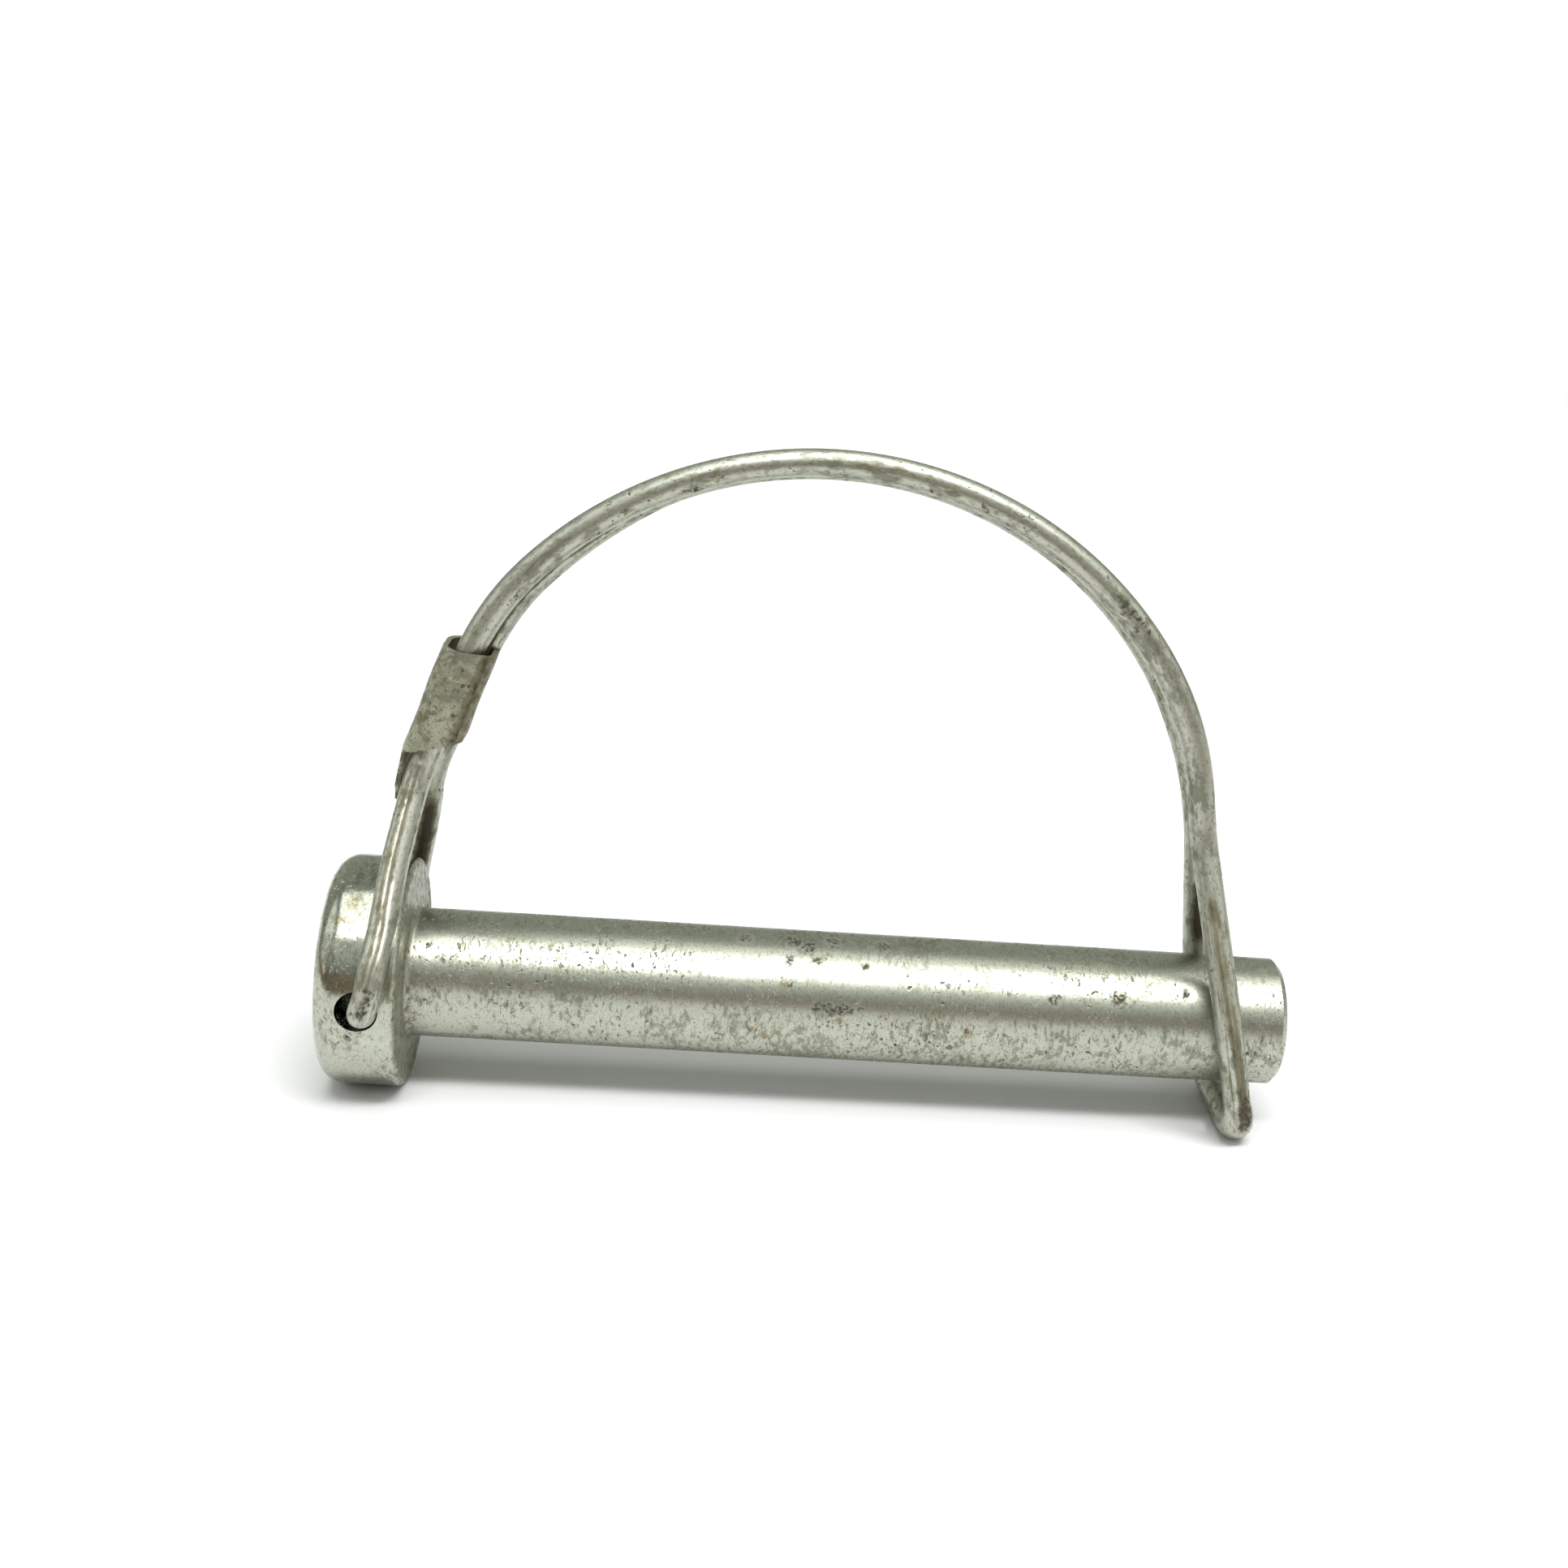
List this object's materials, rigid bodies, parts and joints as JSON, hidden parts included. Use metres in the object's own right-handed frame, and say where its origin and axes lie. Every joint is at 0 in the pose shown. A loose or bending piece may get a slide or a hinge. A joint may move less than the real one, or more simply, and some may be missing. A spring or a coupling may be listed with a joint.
{
  "type": "hitch pin lock",
  "caption": "Headed steel lock pin with a hinged spring-wire bail that arches over the shank and snaps round its tip as a latch.",
  "frame": {"origin": "on the pin's axis, in the plane of the underside of its head", "axes": "+X along the shank from the head to the tip, +Z from the shank towards the top of the wire arch, +Y along the cross hole in the head, from the front wire run to the rear one"},
  "size_m": [0.071, 0.0216, 0.0496],
  "materials": {
    "zinc_pin": "bright zinc plate, worn, with small dark pits and tan stains",
    "zinc_wire": "bright zinc plate over drawn spring wire, stained",
    "zinc_sheet": "dull mottled zinc plate"
  },
  "bodies": {
    "pin": {"pin": "zinc_pin"},
    "bail": {"wire_front_run": "zinc_wire", "wire_rear_run": "zinc_wire", "ferrule": "zinc_sheet"},
    "latch": {"latch_loop": "zinc_wire"}
  },
  "joints": [
    {"name": "bail_swing", "type": "hinge", "parent": "pin", "child": "bail", "pos_m": [-0.0023, 0, 0], "axis": [0, -1, 0], "range_deg": [0, 240]},
    {"name": "latch_flex", "type": "hinge", "parent": "bail", "child": "latch", "pos_m": [0.05836, 0, 0.01698], "axis": [0, -1, 0], "range_deg": [0, 12], "stiffness_Nm_per_rad": 0.05}
  ]
}
